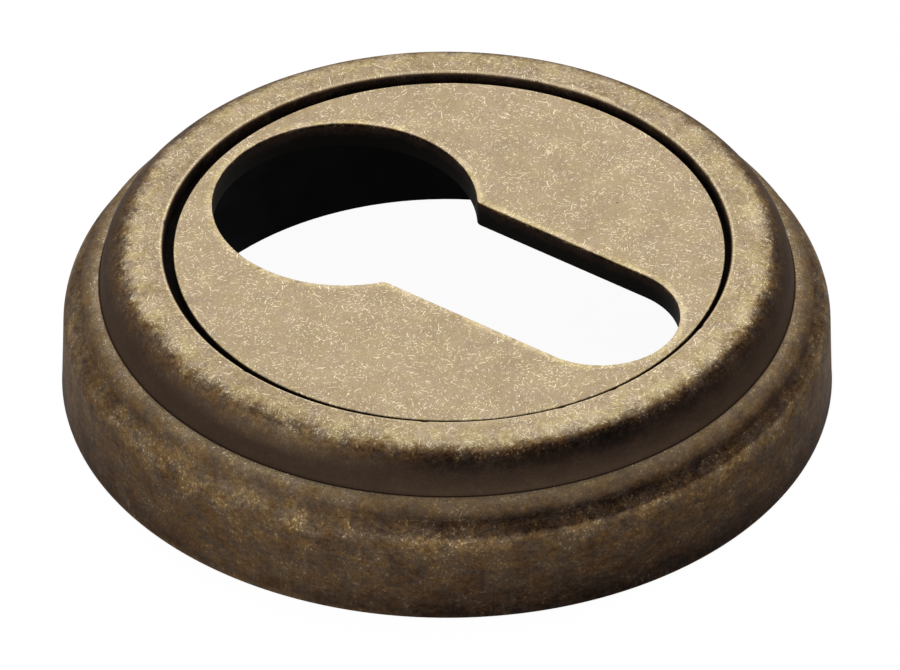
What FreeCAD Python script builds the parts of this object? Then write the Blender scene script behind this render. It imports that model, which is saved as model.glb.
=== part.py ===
import FreeCAD
import Part
import os
from math import hypot, sqrt

# Round keyhole escutcheon for a door with a profile cylinder lock.
# A moulded ring traps a recessed face disc, and the two snap over a base that is screwed to the door.
# Millimetres. The origin is the middle of the back face, on the door. +Z points out of the door,
# and +Y points from the narrow end of the keyhole to its round end.

Vector = FreeCAD.Vector
AXIS_START = Vector(0, 0, 0)
AXIS = Vector(0, 0, 1)

# Keyhole
KEYHOLE_LENGTH = 34.0  # over both round ends
KEYHOLE_DIAMETER = 17.2  # round part, round a 17 mm lock barrel
KEYHOLE_SLOT = 10.3  # width of the straight part, round a 10 mm lock body
KEYHOLE_CORNER = 0.4  # rounding where the straight sides meet the round part
KEYHOLE_EDGE = 0.3  # chamfer of the front edge
KEYHOLE_SHIFT = 0.25  # how far its middle sits towards the narrow end

# Face disc
FACE_MARGIN = 0.56  # metal left between the narrow end of the keyhole and the edge of the disc
FACE_THICKNESS = 1.8
FACE_EDGE = 0.15  # chamfer of the disc's front edge
FLANGE_THICKNESS = 0.95  # step behind the ring's lip

# Ring, from the bore outwards
FACE_GAP = 0.54  # groove seen between disc and ring
CROWN_INSET = 1.25  # from the bore to the highest line of the roll
ROLL_WIDTH = 3.9  # from the bore to the top of the riser
RISER_LEAN = 0.25
LEDGE_WIDTH = 1.25
SHOULDER_WIDTH = 1.12
FOOT_FLARE = 0.13  # how far the foot stands out past the top of the side wall
LIP_THICKNESS = 1.2  # front lip at the bore
BORE_EDGE = 0.3  # chamfer of the bore's front edge
CROWN_RISE = 0.05

# Ring, from the door upwards
WALL_HEIGHT = 4.95  # side wall, up to where the shoulder begins
FOOT_EDGE = 0.2  # chamfer round the foot
SHOULDER_ROUND = 2.0
STEP_RISE = 0.6
LEDGE_DROP = 0.65
RISER_HEIGHT = 1.3

# Ring, inside
SIDE_WALL = 1.57
RISER_WALL = 1.6
CEILING = 1.15  # metal over the outer hollow, below the foot of the step

# Mounting base
SEAT_HEIGHT = 8.8  # top of the collar, which carries the disc
COLLAR_WALL = 1.8
RIM_WALL = 1.2
PLATE_THICKNESS = 2.4
RIM_LEAD_IN = 0.3  # chamfer that guides the ring on
SNAP_COUNT = 8  # slits that part the rim into springy tongues
SNAP_SLIT = 1.2
BEAD_HEIGHT = 3.7  # middle of the snap bead above the door
BEAD_HALF = 0.5
BEAD_PROUD = 0.25

# Screw fixings
SCREW_HOLE = 3.4
SCREW_HEAD = 5.8
COUNTERSINK_DEPTH = 1.2
LUG_WALL = 1.1  # metal round the countersink
HEAD_ROOM = 0.3  # on each side of the screw head, in the collar

# Clearance between pieces that slide over each other, and round a screw head
PLAY = 0.1

# How near counts as the same place when edges are picked
NEAR = 0.01

# Keyhole, along its length
round_radius = KEYHOLE_DIAMETER / 2
half_slot = KEYHOLE_SLOT / 2
round_end_place = KEYHOLE_LENGTH / 2 - KEYHOLE_SHIFT
narrow_end_place = -KEYHOLE_LENGTH / 2 - KEYHOLE_SHIFT
round_centre = round_end_place - round_radius
slot_centre = narrow_end_place + half_slot
junction = round_centre - sqrt(round_radius**2 - half_slot**2)

# Radii, worked outwards from the keyhole
face_radius = FACE_MARGIN - narrow_end_place
bore_radius = face_radius + FACE_GAP
crown_radius = bore_radius + CROWN_INSET
riser_top_radius = bore_radius + ROLL_WIDTH
crease_radius = riser_top_radius + RISER_LEAN
step_radius = crease_radius + LEDGE_WIDTH
wall_radius = step_radius + SHOULDER_WIDTH
ring_radius = wall_radius + FOOT_FLARE
hollow_radius = wall_radius - SIDE_WALL
pocket_radius = crease_radius - RISER_WALL
flange_radius = pocket_radius - PLAY

# Heights above the door
lip_underside = SEAT_HEIGHT + FLANGE_THICKNESS
bore_edge_height = lip_underside + LIP_THICKNESS
crown_height = bore_edge_height + CROWN_RISE
face_height = SEAT_HEIGHT + FACE_THICKNESS
step_foot_height = WALL_HEIGHT + sqrt(SHOULDER_ROUND**2 - (SHOULDER_ROUND - SHOULDER_WIDTH) ** 2)
step_top_height = step_foot_height + STEP_RISE
crease_height = step_top_height + LEDGE_DROP
riser_top_height = crease_height + RISER_HEIGHT
ceiling_height = step_foot_height - CEILING

# Base and screws, fitted inside the ring
base_radius = hollow_radius - PLAY
rim_inner_radius = base_radius - RIM_WALL
rim_height = ceiling_height - PLAY
collar_radius = pocket_radius - PLAY
collar_bore_radius = collar_radius - COLLAR_WALL
head_radius = SCREW_HEAD / 2
screw_offset = rim_inner_radius - head_radius - PLAY
lug_radius = head_radius + LUG_WALL


def point(radius, height):
    return Vector(radius, 0, height)


def line(start, end):
    return Part.LineSegment(start, end).toShape()


def arc_about(centre, start, end):
    """The short arc from start to end round a centre."""
    towards_middle = (start - centre) + (end - centre)
    towards_middle.normalize()
    middle = centre + towards_middle * (start - centre).Length
    return Part.Arc(start, middle, end).toShape()


def turned(edges):
    """The solid that a closed section sweeps round the axis."""
    section = Part.Face(Part.Wire(Part.__sortEdges__(edges)))
    return section.revolve(AXIS_START, AXIS, 360)


def chain(points):
    """Straight edges from each point to the next."""
    return [line(start, end) for start, end in zip(points, points[1:])]


def closed(points):
    """Straight edges from each point to the next, and back to the first."""
    return chain(points + points[:1])


def roll_section():
    """Front of the ring: bore edge, crown and the round roll down to the riser."""
    bore_corner = point(bore_radius, bore_edge_height - BORE_EDGE)
    bore_front = point(bore_radius + BORE_EDGE, bore_edge_height)
    crown = point(crown_radius, crown_height)
    riser_top = point(riser_top_radius, riser_top_height)
    across = riser_top_radius - crown_radius
    down = crown_height - riser_top_height
    roll_round = (across**2 + down**2) / (2 * down)
    roll_centre = point(crown_radius, crown_height - roll_round)
    return [
        *chain([bore_corner, bore_front, crown]),
        arc_about(roll_centre, crown, riser_top),
        line(riser_top, point(crease_radius, crease_height)),
    ]


def shoulder_section():
    """Outside of the ring: convex ledge, small step, round shoulder, side wall and foot."""
    crease = point(crease_radius, crease_height)
    step_top = point(step_radius, step_top_height)
    ledge_round = (LEDGE_WIDTH**2 + LEDGE_DROP**2) / (2 * LEDGE_DROP)
    step_foot = point(step_radius, step_foot_height)
    wall_top = point(wall_radius, WALL_HEIGHT)
    wall_foot = point(ring_radius, FOOT_EDGE)
    foot = point(ring_radius - FOOT_EDGE, 0)
    return [
        arc_about(point(crease_radius, crease_height - ledge_round), crease, step_top),
        line(step_top, step_foot),
        arc_about(point(wall_radius - SHOULDER_ROUND, WALL_HEIGHT), step_foot, wall_top),
        *chain([wall_top, wall_foot, foot, point(hollow_radius, 0)]),
    ]


def hollow_section():
    """Inside of the ring: snap groove, hollow for the base, pocket for the flange, lip."""
    groove_half = BEAD_HALF + PLAY
    corners = [
        point(hollow_radius, 0),
        point(hollow_radius, BEAD_HEIGHT - groove_half),
        point(hollow_radius + BEAD_PROUD, BEAD_HEIGHT),
        point(hollow_radius, BEAD_HEIGHT + groove_half),
        point(hollow_radius, ceiling_height),
        point(pocket_radius, ceiling_height),
        point(pocket_radius, lip_underside),
        point(bore_radius, lip_underside),
        point(bore_radius, bore_edge_height - BORE_EDGE),
    ]
    return chain(corners)


def trim_ring():
    """The moulded ring, cast in one piece and hollow behind."""
    return turned(roll_section() + shoulder_section() + hollow_section())


def keyhole_wire(height):
    """Outline of the keyhole: most of a circle, two straight sides and a half-round end."""
    right_top = Vector(half_slot, junction, height)
    left_top = Vector(-half_slot, junction, height)
    right_end = Vector(half_slot, slot_centre, height)
    left_end = Vector(-half_slot, slot_centre, height)
    narrow_end = Vector(0, narrow_end_place, height)
    round_end = Vector(0, round_end_place, height)
    return Part.Wire(
        [
            Part.Arc(right_top, round_end, left_top).toShape(),
            line(left_top, left_end),
            Part.Arc(left_end, narrow_end, right_end).toShape(),
            line(right_end, right_top),
        ]
    )


def at_junction(edge):
    """True for the two upright edges where the straight sides meet the round part."""
    box = edge.BoundBox
    upright = max(box.XLength, box.YLength) < NEAR
    on_side = abs(abs(box.Center.x) - half_slot) < NEAR
    return upright and on_side and box.Center.y > slot_centre + NEAR


def keyhole_cutter():
    """A prism of the keyhole with its two inner corners rounded."""
    start = SEAT_HEIGHT - FACE_THICKNESS
    prism = Part.Face(keyhole_wire(start)).extrude(AXIS * 3 * FACE_THICKNESS)
    corners = [edge for edge in prism.Edges if at_junction(edge)]
    return prism.makeFillet(KEYHOLE_CORNER, corners)


def face_disc():
    """The face with its keyhole, and the flange that the ring's lip holds down."""
    corners = [
        point(face_radius - FACE_EDGE, face_height),
        point(0, face_height),
        point(0, SEAT_HEIGHT),
        point(flange_radius, SEAT_HEIGHT),
        point(flange_radius, lip_underside),
        point(face_radius, lip_underside),
        point(face_radius, face_height - FACE_EDGE),
    ]
    disc = turned(closed(corners)).cut(keyhole_cutter())
    return disc.makeChamfer(KEYHOLE_EDGE, keyhole_front_edges(disc))


def keyhole_front_edges(disc):
    """Edges of the keyhole that lie in the front of the disc."""
    inside = face_radius - FACE_EDGE - FACE_MARGIN / 4
    edges = []
    for edge in disc.Edges:
        flat = edge.BoundBox.ZLength < NEAR and abs(edge.BoundBox.ZMin - face_height) < NEAR
        reach = max(hypot(vertex.X, vertex.Y) for vertex in edge.Vertexes)
        if flat and reach < inside:
            edges.append(edge)
    return edges


def base_section():
    """Collar, floor and outer rim with its snap bead."""
    corners = [
        point(base_radius, BEAD_HEIGHT - BEAD_HALF),
        point(base_radius + BEAD_PROUD, BEAD_HEIGHT),
        point(base_radius, BEAD_HEIGHT + BEAD_HALF),
        point(base_radius, rim_height - RIM_LEAD_IN),
        point(base_radius - RIM_LEAD_IN, rim_height),
        point(rim_inner_radius, rim_height),
        point(rim_inner_radius, PLATE_THICKNESS),
        point(collar_radius, PLATE_THICKNESS),
        point(collar_radius, SEAT_HEIGHT),
        point(collar_bore_radius, SEAT_HEIGHT),
        point(collar_bore_radius, 0),
        point(base_radius, 0),
    ]
    return closed(corners)


def screw_lug(side):
    """A round lug that widens the floor inwards round one screw."""
    return Part.makeCylinder(lug_radius, PLATE_THICKNESS, Vector(side * screw_offset, 0, 0))


def screw_cut(side):
    """Hole, countersink and the gap in the collar that lets the screw head through."""
    centre = Vector(side * screw_offset, 0, 0)
    cone_foot = centre + AXIS * (PLATE_THICKNESS - COUNTERSINK_DEPTH)
    hole = Part.makeCylinder(SCREW_HOLE / 2, PLATE_THICKNESS, centre)
    cone = Part.makeCone(SCREW_HOLE / 2, head_radius, COUNTERSINK_DEPTH, cone_foot)
    gap_width = SCREW_HEAD + 2 * HEAD_ROOM
    gap_start = collar_bore_radius - COLLAR_WALL
    gap_end = (collar_radius + rim_inner_radius) / 2
    corner = Vector(min(side * gap_start, side * gap_end), -gap_width / 2, PLATE_THICKNESS)
    gap = Part.makeBox(gap_end - gap_start, gap_width, SEAT_HEIGHT, corner)
    return hole.fuse([cone, gap])


def snap_slit(index):
    """One slit through the rim, from its top down to the floor."""
    start = (collar_radius + rim_inner_radius) / 2
    end = ring_radius
    corner = Vector(start, -SNAP_SLIT / 2, PLATE_THICKNESS)
    slit = Part.makeBox(end - start, SNAP_SLIT, rim_height, corner)
    slit.rotate(AXIS_START, AXIS, (index + 0.5) * 360 / SNAP_COUNT)
    return slit


def mounting_base():
    """The base that is screwed to the door, under the ring and the disc."""
    body = turned(base_section()).fuse([screw_lug(1), screw_lug(-1)])
    slits = [snap_slit(index) for index in range(SNAP_COUNT)]
    return body.cut([screw_cut(1), screw_cut(-1), *slits]).removeSplitter()


def main():
    os.makedirs("parts", exist_ok=True)
    pieces = {
        "trim_ring": trim_ring(),
        "face_disc": face_disc(),
        "mounting_base": mounting_base(),
    }
    for name, shape in pieces.items():
        box = shape.optimalBoundingBox(False)
        print(name, "valid", shape.isValid(), "solids", len(shape.Solids), "faces", len(shape.Faces))
        print("  volume", round(shape.Volume, 1), "z", round(box.ZMin, 3), "to", round(box.ZMax, 3))
        print("  across", round(box.XLength, 3), "by", round(box.YLength, 3))
        shape.exportStep(f"parts/{name}.step")


main()
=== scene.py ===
# %% [markdown]
# A round escutcheon for a door with a profile cylinder lock, in relieved antique bronze.
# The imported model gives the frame: every size below is read from it or worked out from it, and a few
# sizes of the moulding are written once, in millimetres. This first cell loads that frame and keeps the
# box of the whole object, which the dressed pieces must not leave.

# %% Load the frame
import bmesh
import bpy
import numpy as np
from math import asin, atan2, cos, degrees, pi, radians, sin, sqrt
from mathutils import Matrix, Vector, noise


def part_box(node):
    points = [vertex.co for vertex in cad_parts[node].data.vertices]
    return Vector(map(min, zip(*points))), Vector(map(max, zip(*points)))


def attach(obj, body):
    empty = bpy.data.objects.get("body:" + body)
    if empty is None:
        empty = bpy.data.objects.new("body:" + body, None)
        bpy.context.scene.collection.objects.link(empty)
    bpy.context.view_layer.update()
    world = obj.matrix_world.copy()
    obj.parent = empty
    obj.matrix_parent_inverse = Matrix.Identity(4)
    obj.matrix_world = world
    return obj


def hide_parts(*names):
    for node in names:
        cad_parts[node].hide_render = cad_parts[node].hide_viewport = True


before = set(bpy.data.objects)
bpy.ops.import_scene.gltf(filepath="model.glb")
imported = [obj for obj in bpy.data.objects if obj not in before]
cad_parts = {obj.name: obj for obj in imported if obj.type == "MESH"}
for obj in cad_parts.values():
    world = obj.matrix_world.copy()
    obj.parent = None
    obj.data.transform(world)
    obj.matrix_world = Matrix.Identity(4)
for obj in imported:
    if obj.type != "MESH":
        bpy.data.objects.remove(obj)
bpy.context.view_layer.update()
ring_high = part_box("trim_ring")[1]
disc_low, disc_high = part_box("face_disc")
print("nodes:", sorted(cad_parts))

# %% [markdown]
# The ring is one casting, and its front is a run of plain mouldings: a rounded bore edge, a nearly flat
# crown, a round roll, a smooth riser, a convex ledge, a small step, a round shoulder and a side wall.
# Designers give such a section as widths and heights. Here the radii run inwards from the ring's outer
# radius, and the heights down from its crown, so that the section follows the frame.

# %% Sizes of the ring
MM = 0.001
FOOT_FLARE = 0.13 * MM
SHOULDER_WIDTH = 1.12 * MM
LEDGE_WIDTH = 1.25 * MM
RISER_LEAN = 0.25 * MM
ROLL_WIDTH = 3.9 * MM
CROWN_INSET = 1.25 * MM
CROWN_RISE = 0.05 * MM
LIP = 1.2 * MM
BORE_EDGE = 0.3 * MM
FOOT_EDGE = 0.2 * MM
ROLL_DROP = 1.7 * MM
RISER_HEIGHT = 1.3 * MM
LEDGE_DROP = 0.65 * MM
STEP_RISE = 0.6 * MM
SHOULDER_ROUND = 2.0 * MM

ring_radius = ring_high.x
wall_radius = ring_radius - FOOT_FLARE
step_radius = wall_radius - SHOULDER_WIDTH
crease_radius = step_radius - LEDGE_WIDTH
riser_top_radius = crease_radius - RISER_LEAN
bore_radius = riser_top_radius - ROLL_WIDTH
crown_radius = bore_radius + CROWN_INSET

crown_height = ring_high.z
bore_height = crown_height - CROWN_RISE
riser_top_height = crown_height - ROLL_DROP
crease_height = riser_top_height - RISER_HEIGHT
step_top_height = crease_height - LEDGE_DROP
step_foot_height = step_top_height - STEP_RISE
lip_underside = bore_height - LIP
shoulder_reach = SHOULDER_ROUND - SHOULDER_WIDTH
wall_height = step_foot_height - sqrt(SHOULDER_ROUND**2 - shoulder_reach**2)
print("bore radius in mm:", round(bore_radius / MM, 2))
print("crease and wall top in mm:", round(crease_height / MM, 2), round(wall_height / MM, 2))

# %% [markdown]
# A turned form starts as a section: a chain of edges that stands on one side of the axis. Two small
# helpers draw it. One runs straight to a new point and divides that run, and the other swings the last
# point about a centre, which is what the spin operator does to a single vertex. Both keep the spacing
# near a given step, because the wear below is stored on the vertices and needs them close together.

# %% Draw a section
FINE_STEP = 0.2 * MM
CREASE_LINE = 0.07 * MM
COARSE_STEP = 2 * MM


def run_to(mesh, point, radius, height, step=FINE_STEP):
    """Extrudes the last point to a new place, in equal pieces of about one step."""
    start, goal = point.co.copy(), Vector((radius, 0, height))
    pieces = max(1, round((goal - start).length / step))
    for index in range(1, pieces + 1):
        point = bmesh.ops.extrude_vert_indiv(mesh, verts=[point])["verts"][0]
        point.co = start.lerp(goal, index / pieces)
    return point


def swing(mesh, point, radius, height, turn, step=FINE_STEP):
    """Spins the last point about a centre, through a turn in radians, outwards and down."""
    centre = Vector((radius, 0, height))
    arm = (point.co - centre).length
    pieces = max(3, round(arm * turn / step))
    made = bmesh.ops.spin(mesh, geom=[point], cent=centre, axis=(0, 1, 0), angle=turn, steps=pieces)
    return [item for item in made["geom_last"] if isinstance(item, bmesh.types.BMVert)][0]


print("section steps in mm:", round(FINE_STEP / MM, 2), "in front,", round(COARSE_STEP / MM, 2), "behind")

# %% [markdown]
# The visible side of the section comes first, from the bore over the roll to the foot, and then the
# hollow back with its pocket for the disc's flange and its groove for the base's snap bead. An arc that
# starts level or upright is fixed by its width and its drop, so its radius is worked out and not guessed.

# %% The ring's section
POCKET_WALL = 1.6 * MM
SIDE_WALL = 1.57 * MM
CEILING = 1.15 * MM
GROOVE_HEIGHT = 3.7 * MM
GROOVE_HALF = 0.6 * MM
GROOVE_DEPTH = 0.25 * MM


def front_section(mesh):
    """Bore edge, crown, roll, riser, ledge, step, shoulder, wall and foot. Returns both ends."""
    first = mesh.verts.new((bore_radius, 0, bore_height - BORE_EDGE))
    point = swing(mesh, first, bore_radius + BORE_EDGE, bore_height - BORE_EDGE, pi / 2, FINE_STEP / 2)
    point = run_to(mesh, point, crown_radius, crown_height)
    across = riser_top_radius - crown_radius
    roll_round = (across**2 + ROLL_DROP**2) / (2 * ROLL_DROP)
    roll_turn = atan2(across, roll_round - ROLL_DROP)
    point = swing(mesh, point, crown_radius, crown_height - roll_round, roll_turn)
    lean = CREASE_LINE * RISER_LEAN / RISER_HEIGHT
    point = run_to(mesh, point, crease_radius - lean, crease_height + CREASE_LINE)
    point = run_to(mesh, point, crease_radius, crease_height)
    ledge_round = (LEDGE_WIDTH**2 + LEDGE_DROP**2) / (2 * LEDGE_DROP)
    ledge_turn = asin(LEDGE_WIDTH / ledge_round)
    point = swing(mesh, point, crease_radius, crease_height - ledge_round, ledge_turn, FINE_STEP / 2)
    point = run_to(mesh, point, step_radius, step_foot_height)
    turn = pi / 2 - asin(shoulder_reach / SHOULDER_ROUND)
    point = swing(mesh, point, wall_radius - SHOULDER_ROUND, wall_height, turn)
    point = run_to(mesh, point, ring_radius, FOOT_EDGE)
    return first, swing(mesh, point, ring_radius - FOOT_EDGE, FOOT_EDGE, pi / 2, FINE_STEP / 2)


def back_section(mesh, point, first):
    """Underside, hollow with its snap groove, pocket and lip, back to the first point."""
    hollow_radius = wall_radius - SIDE_WALL
    pocket_radius = crease_radius - POCKET_WALL
    ceiling_height = step_foot_height - CEILING
    corners = (
        (hollow_radius, 0),
        (hollow_radius, GROOVE_HEIGHT - GROOVE_HALF),
        (hollow_radius + GROOVE_DEPTH, GROOVE_HEIGHT),
        (hollow_radius, GROOVE_HEIGHT + GROOVE_HALF),
        (hollow_radius, ceiling_height),
        (pocket_radius, ceiling_height),
        (pocket_radius, lip_underside),
        (bore_radius, lip_underside),
    )
    for radius, height in corners:
        point = run_to(mesh, point, radius, height, COARSE_STEP)
    mesh.edges.new((point, first))


print("side wall in mm:", round(SIDE_WALL / MM, 2), "pocket wall:", round(POCKET_WALL / MM, 2))

# %% [markdown]
# A full spin of that section about the upright axis makes the ring. The spin merges its last column with
# its first, and a pass that removes doubles makes sure of it. Then the normals are worked out anew, so
# that every face looks outwards, before anything reads them.

# %% Spin the ring
RING_COLUMNS = 480
MERGE_REACH = 0.001 * MM


def turned_ring():
    mesh = bmesh.new()
    first, last = front_section(mesh)
    back_section(mesh, last, first)
    section = mesh.verts[:] + mesh.edges[:]
    bmesh.ops.spin(
        mesh, geom=section, cent=(0, 0, 0), axis=(0, 0, 1), angle=2 * pi, steps=RING_COLUMNS, use_merge=True
    )
    bmesh.ops.remove_doubles(mesh, verts=mesh.verts, dist=MERGE_REACH)
    bmesh.ops.recalc_face_normals(mesh, faces=mesh.faces)
    return mesh


ring_mesh = turned_ring()
print("ring:", len(ring_mesh.verts), "vertices,", len(ring_mesh.faces), "faces")

# %% [markdown]
# The real ring is cast and then polished by hand, so its roll and wall waver by a few hundredths of a
# millimetre, and the thin edge of its bore has small nicks. Both are moved into the vertices. Metal is
# only taken away, never added, so the ring stays inside its box.

# %% Hand polish and nicks
POLISH_DEPTH = 0.03 * MM
POLISH_SIZE = 3.5 * MM
NICK_DEPTH = 0.07 * MM
NICK_SIZE = 0.3 * MM
NICK_ANGLES = (-149, -121, -109, -82, -31, 17, 64, 118, 171)


def polish(mesh):
    """Sinks the front of the ring by soft noise, more on the round forms than in the corners."""
    for vertex in mesh.verts:
        if vertex.co.z > FOOT_EDGE and vertex.co.xy.length > bore_radius + BORE_EDGE:
            depth = 0.5 + 0.5 * noise.noise(vertex.co / POLISH_SIZE)
            vertex.co -= vertex.normal * POLISH_DEPTH * depth


def nick(mesh, angle):
    """Dents the bore's front edge at one angle, outwards and down."""
    spot = Vector((cos(angle), sin(angle), 0)) * bore_radius
    spot.z = bore_height
    for vertex in mesh.verts:
        near = 1 - (vertex.co - spot).length / NICK_SIZE
        if near > 0:
            outwards = Vector((vertex.co.x, vertex.co.y, 0)).normalized()
            vertex.co += (outwards - Vector((0, 0, 1))) * NICK_DEPTH * near


polish(ring_mesh)
for nick_angle in NICK_ANGLES:
    nick(ring_mesh, radians(nick_angle))
print("nicks:", len(NICK_ANGLES), "of", round(NICK_DEPTH / MM, 2), "mm")

# %% [markdown]
# Antique bronze is made by darkening the whole casting and then rubbing the dark patina off again where a
# cloth reaches: crown, roll and shoulder come up bright, and riser, corners and foot stay dark. The hand
# never reaches all round alike, so each row of the table gives two values from 0, full patina, to 1, bare
# metal: one for the side that was rubbed least and one for the side rubbed most. A last number says how
# broken the patina is there, from 0 for a smooth film to 1 for flecks. A row is placed by its way along the
# moulding: the millimetres outwards plus the millimetres down from the bore's front edge. A short second
# table says how far the rubbing reached at a few turns round the ring, and the turns between are blended:
# 0 gives a row's first value, 1 its second, and more than 1 goes beyond it. That second table is partly
# uneven rubbing and partly painted light and shade: part of the brightening and darkening that it gives
# round the ring stands for how the light falls there.

# %% How far the ring is rubbed, with painted light and shade round it
# The turns and values of this table are partly uneven rubbing and partly painted light and shade.
REACH_AND_SHADING_TURNS = (-204, -174, -158, -144, -114, -84, -59, 0)  # degrees
REACH_AND_SHADING = (0.85, 1.35, 0.8, 0.25, 0.0, 0.4, 0.65, 0.9)
RUB_AND_SHEEN_ROWS = (  # millimetres along, value at reach 0, value at reach 1, how broken
    (0.3, 0.77, 0.7, 0.2),
    (1.2, 0.76, 0.71, 0.25),
    (1.9, 0.82, 0.73, 0.4),
    (2.4, 0.83, 0.66, 0.55),
    (2.95, 0.55, 0.5, 0.7),
    (3.4, 0.14, 0.4, 0.5),
    (4.0, 0.05, 0.36, 0.25),
    (4.6, 0.06, 0.32, 0.15),
    # The two riser rows (5.6 and 7.0) are smooth patina, lifted towards the riser's foot on the least rubbed
    # side as a painted sheen.
    (5.6, 0.2, 0.24, 0.08),
    (7.0, 0.31, 0.25, 0.05),
    (7.1, 0.25, 0.18, 0.0),
    (7.15, 0.02, 0.02, 0.0),
    (7.25, 0.57, 0.65, 0.2),
    (7.55, 0.53, 0.62, 0.2),
    (8.1, 0.45, 0.52, 0.25),
    (8.65, 0.38, 0.43, 0.3),
    (9.05, 0.26, 0.38, 0.3),
    (9.5, 0.13, 0.42, 0.35),
    (10.0, 0.16, 0.44, 0.4),
    (10.9, 0.22, 0.43, 0.45),
    (11.15, 0.56, 0.47, 0.5),
    (11.45, 0.42, 0.43, 0.42),
    (12.6, 0.34, 0.38, 0.35),
    (13.85, 0.3, 0.35, 0.3),
    (15.1, 0.25, 0.33, 0.28),
    (16.35, 0.15, 0.29, 0.26),
    (17.15, 0.08, 0.24, 0.25),
    (17.55, 0.1, 0.33, 0.25),
)
PATINA_BEHIND = 0.08
NEAR = 0.01 * MM
BORE_DEPTHS = (0, 0.06 * MM, 0.12 * MM, 0.18 * MM, BORE_EDGE, LIP)
BORE_RUBBED = (0.95, 0.88, 0.34, 0.16, 0.08, 0.03)
BORE_BROKEN = 0.2


def rub_and_shade_ring(mesh):
    """Writes how rubbed and how broken every vertex of the ring is, with the painted light and shade of the
    turn table. The back keeps its patina.
    """
    rubbed_and_shaded = mesh.verts.layers.float.new("rubbed_and_shaded")
    broken = mesh.verts.layers.float.new("broken")
    way = [row[0] * MM for row in RUB_AND_SHEEN_ROWS]
    for vertex in mesh.verts:
        radius = vertex.co.xy.length
        along = radius - bore_radius + crown_height - vertex.co.z
        in_front = radius > bore_radius + BORE_EDGE / 2 and vertex.normal.dot(vertex.co) > 0
        turn = degrees(atan2(vertex.co.y, vertex.co.x))
        reach_and_shading = float(np.interp(turn, REACH_AND_SHADING_TURNS, REACH_AND_SHADING, period=360))
        least, most, loose = (float(np.interp(along, way, [row[k] for row in RUB_AND_SHEEN_ROWS])) for k in (1, 2, 3))
        value = least + (most - least) * reach_and_shading if in_front else PATINA_BEHIND
        if radius < bore_radius + BORE_EDGE and vertex.co.z > lip_underside - NEAR:
            value = float(np.interp(bore_height - vertex.co.z, BORE_DEPTHS, BORE_RUBBED))
            loose = BORE_BROKEN
        vertex[rubbed_and_shaded] = value
        vertex[broken] = loose


rub_and_shade_ring(ring_mesh)
print("rubbed in", len(RUB_AND_SHEEN_ROWS), "rows")

# %% [markdown]
# The face disc is drawn as half of its front: a flat outline that goes round the outer edge and comes back
# along the keyhole. The keyhole is most of a circle, a straight side and a quarter turn, and its sizes
# follow from the standard lock that passes it. It sits a quarter of a millimetre towards its narrow end. The
# disc has a little play in its ring, so its rim lies off the middle the same way, and the groove is
# narrowest there. A mirror closes the other half, and the joined front then gets its thickness by
# extruding, so no wall is left in the middle.

# %% Sizes of the disc
FACE_GAP = 0.54 * MM
FACE_SHIFT = 0.18 * MM
KEY_LENGTH = 34.0 * MM
KEY_SHIFT = 0.25 * MM
KEY_ROUND = 8.6 * MM
KEY_SLOT = 5.15 * MM
KEY_EDGE = 0.3 * MM
KEY_CORNER = 0.35 * MM
FACE_EDGE = 0.08 * MM

face_radius = bore_radius - FACE_GAP
face_height = disc_high.z
flange_radius = disc_high.x
round_centre = KEY_LENGTH / 2 - KEY_ROUND - KEY_SHIFT
narrow_end = -KEY_LENGTH / 2 - KEY_SHIFT
end_centre = narrow_end + KEY_SLOT
junction = round_centre - sqrt(KEY_ROUND**2 - KEY_SLOT**2)
print("disc radius in mm:", round(face_radius / MM, 2), "front at", round(face_height / MM, 2))

# %% [markdown]
# Only the right half of that outline is drawn: from the top of the rim clockwise to its foot, in to the
# keyhole's narrow end, up its side, round the circle and back to the top. A single point that spins about
# a centre in the plane draws each arc, and the closed chain is then filled as one face.

# %% Half of the front
ARC_STEP = 0.25 * MM


def sweep(mesh, point, centre_y, turn):
    """Spins the last point in the plane of the front, about a centre on the long axis."""
    centre = Vector((0, centre_y, face_height))
    pieces = round((point.co - centre).length * abs(turn) / ARC_STEP)
    made = bmesh.ops.spin(mesh, geom=[point], cent=centre, axis=(0, 0, 1), angle=turn, steps=pieces)
    return [item for item in made["geom_last"] if isinstance(item, bmesh.types.BMVert)][0]


def half_front():
    """The right half of the front as one face."""
    mesh = bmesh.new()
    top = mesh.verts.new((0, face_radius - FACE_SHIFT, face_height))
    bottom = sweep(mesh, top, -FACE_SHIFT, -pi)
    slot_end = mesh.verts.new((0, narrow_end, face_height))
    mesh.edges.new((bottom, slot_end))
    slot_side = sweep(mesh, slot_end, end_centre, pi / 2)
    corner = mesh.verts.new((KEY_SLOT, junction, face_height))
    mesh.edges.new((slot_side, corner))
    round_turn = pi - asin(KEY_SLOT / KEY_ROUND)
    round_end = sweep(mesh, corner, round_centre, round_turn)
    mesh.edges.new((round_end, top))
    bmesh.ops.contextual_create(mesh, geom=mesh.edges)
    return mesh


disc_mesh = half_front()
print("half front:", len(disc_mesh.verts), "points,", len(disc_mesh.faces), "face")

# %% [markdown]
# Mirror and extrude give a plain plate. Then a plane cuts its rim at the height of the ring's lip, and
# the band below that cut is pulled out into the flange that the lip holds down.

# %% Thickness and flange
UPRIGHT = 0.5  # an upright face's normal has less height than this


def plate_from(mesh):
    """Mirrors the half front and gives it its thickness."""
    bmesh.ops.mirror(mesh, geom=mesh.faces[:] + mesh.verts[:] + mesh.edges[:], axis="X", merge_dist=MERGE_REACH)
    bmesh.ops.remove_doubles(mesh, verts=mesh.verts, dist=MERGE_REACH)
    made = bmesh.ops.extrude_face_region(mesh, geom=mesh.faces[:])
    lower = [item for item in made["geom"] if isinstance(item, bmesh.types.BMVert)]
    bmesh.ops.translate(mesh, verts=lower, vec=(0, 0, disc_low.z - face_height))
    bmesh.ops.recalc_face_normals(mesh, faces=mesh.faces)


def off_rim(place):
    """How far a place is from the rim, seen from the front."""
    return abs((place.xy - Vector((0, -FACE_SHIFT))).length - face_radius)


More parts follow.
